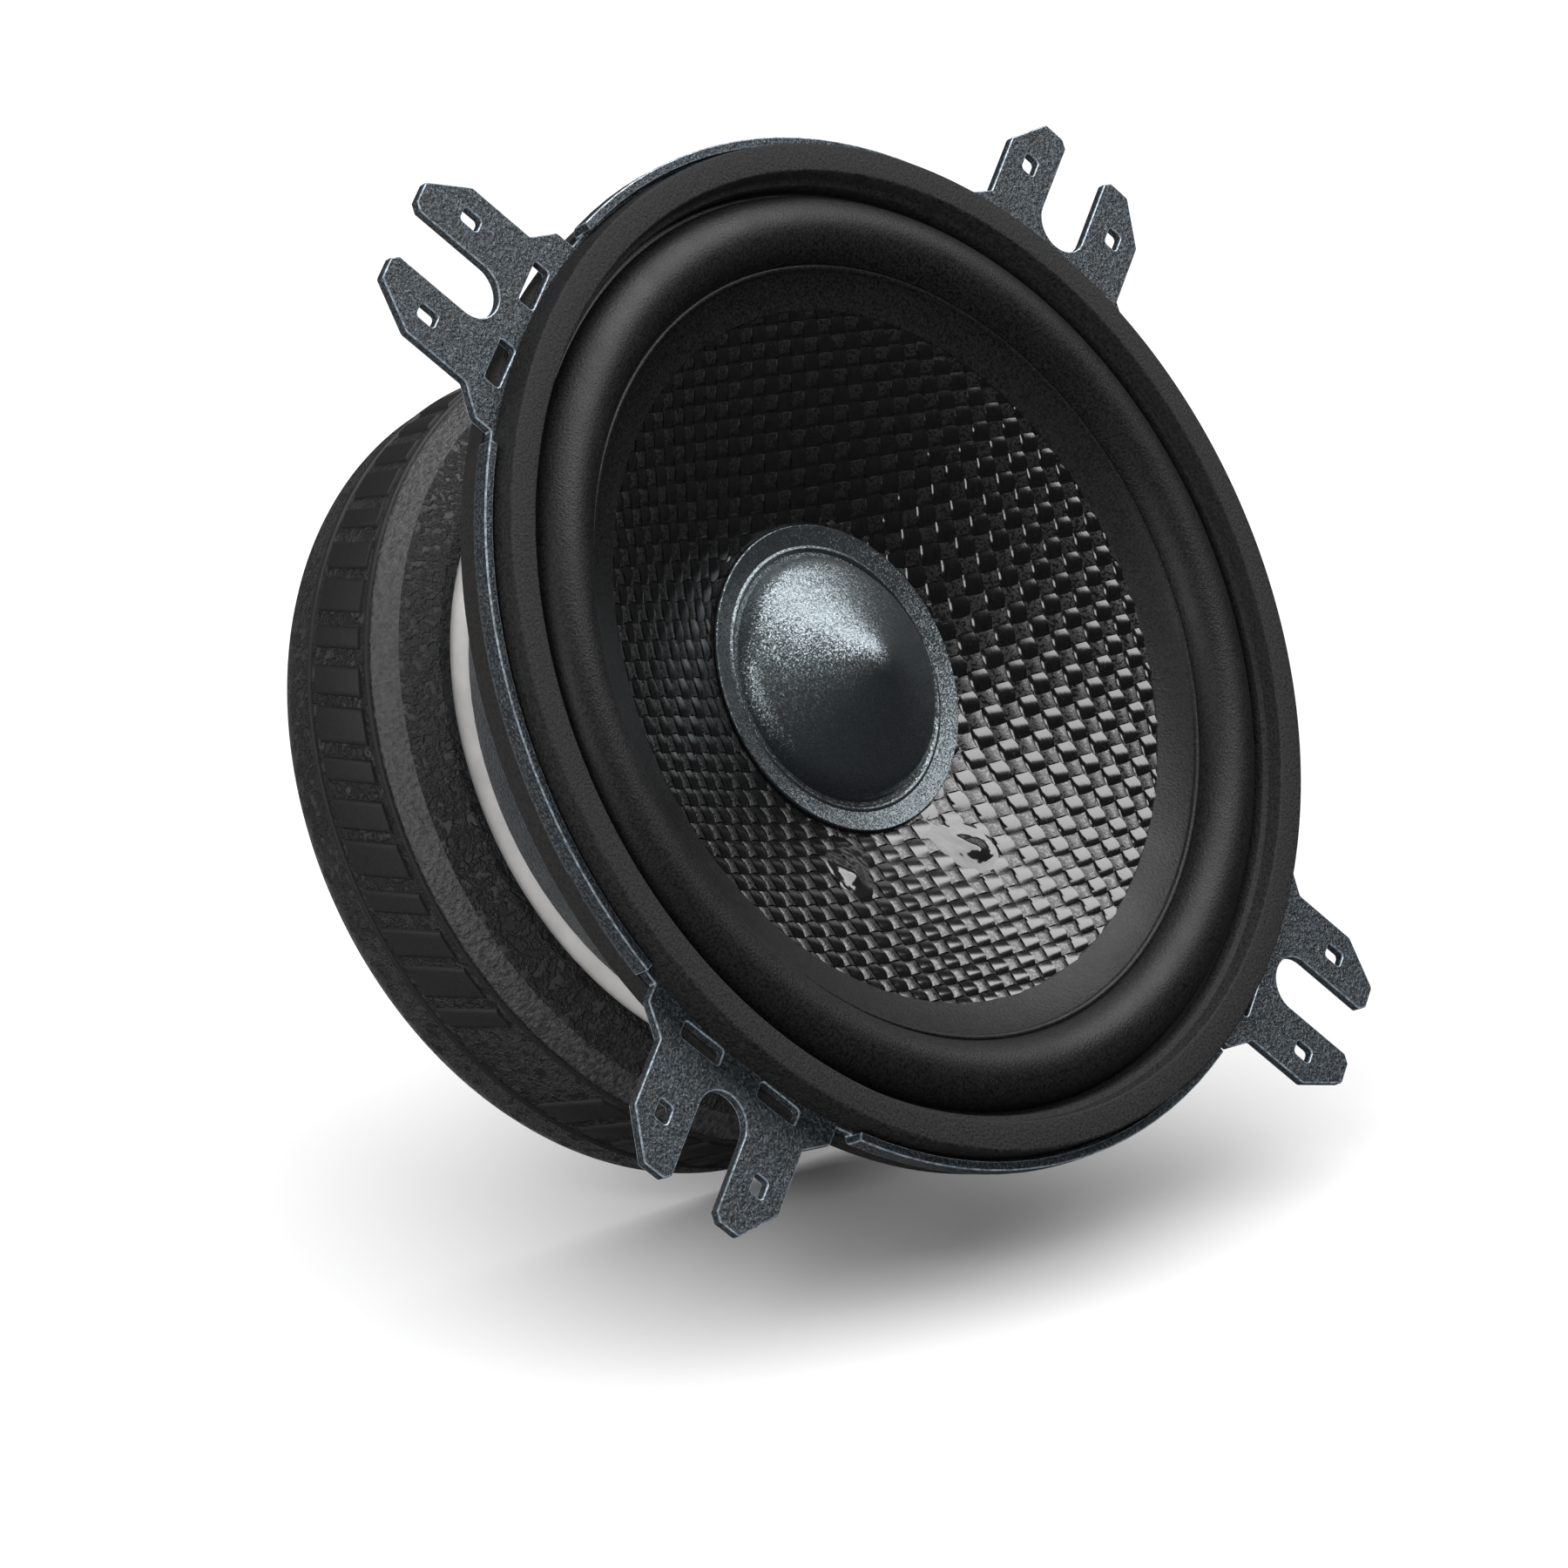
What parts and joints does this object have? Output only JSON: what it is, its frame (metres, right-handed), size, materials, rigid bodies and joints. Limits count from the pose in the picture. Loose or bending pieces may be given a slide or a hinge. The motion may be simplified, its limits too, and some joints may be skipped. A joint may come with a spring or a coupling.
{
  "type": "car midwoofer speaker",
  "caption": "Round car midwoofer: woven cone and metal dust cap on a rubber surround, stamped basket with forked screw tabs, ferrite motor in a rubber boot.",
  "frame": {"origin": "centre of the boot's flat back face", "axes": "+Z along the speaker's axis out of its front; the four tabs lie along +X, +Y, -X and -Y; the terminals are at 45 degrees between +X and -Y"},
  "size_m": [0.1306, 0.1306, 0.048],
  "materials": {
    "basket_paint": "textured blue-grey powder coat",
    "gasket_rubber": "fine-grain moulded rubber",
    "rear_foam": "closed-cell foam, brown-black",
    "surround_rubber": "satin butyl rubber",
    "cone_weave": "black plain-weave glass fibre in resin",
    "cap_metal": "pearl metallic blue-grey",
    "cement": "black cement, uneven gloss",
    "clear_cement": "clear black cement, wet gloss",
    "boot_rubber": "leather-grained moulded rubber",
    "plated_steel": "bright zinc plate",
    "ferrite": "dull ground ferrite",
    "former_metal": "rolled foil",
    "enamelled_wire": "enamelled copper wire",
    "kraft_paper": "varnished kraft paper",
    "spider_cloth": "resin-dipped cotton",
    "brass_fittings": "plain brass",
    "tinsel_braid": "braided tinsel and cotton",
    "fibre_board": "brown phenolic board",
    "tinned_brass": "tin plate",
    "solder": "bright solder"
  },
  "bodies": {
    "frame": {"basket": "basket_paint", "front_gasket": "gasket_rubber", "rear_gasket": "rear_foam", "surround": "surround_rubber", "spider": "spider_cloth", "magnet_boot": "boot_rubber", "top_plate": "plated_steel", "ferrite_magnet": "ferrite", "back_plate_with_pole": "plated_steel", "frame_rivets": "plated_steel", "terminal_board": "fibre_board", "terminal_positive": "tinned_brass", "terminal_negative": "tinned_brass", "terminal_rivets": "brass_fittings", "solder_joints": "solder", "tinsel_lead_positive": "tinsel_braid", "tinsel_lead_negative": "tinsel_braid"},
    "moving_cone": {"cone": "cone_weave", "dust_cap": "cap_metal", "dust_cap_cement": "cement", "voice_coil_former": "former_metal", "voice_coil_winding": "enamelled_wire", "former_collar": "kraft_paper", "lead_eyelets": "brass_fittings", "lead_dab_positive": "clear_cement", "lead_dab_negative": "clear_cement"}
  },
  "joints": [
    {"name": "cone_travel", "type": "slide", "parent": "frame", "child": "moving_cone", "axis": [0, 0, 1], "range_m": [-0.003, 0.003], "stiffness_N_per_m": 400, "deforming": ["surround", "spider", "tinsel_lead_positive", "tinsel_lead_negative"]}
  ]
}
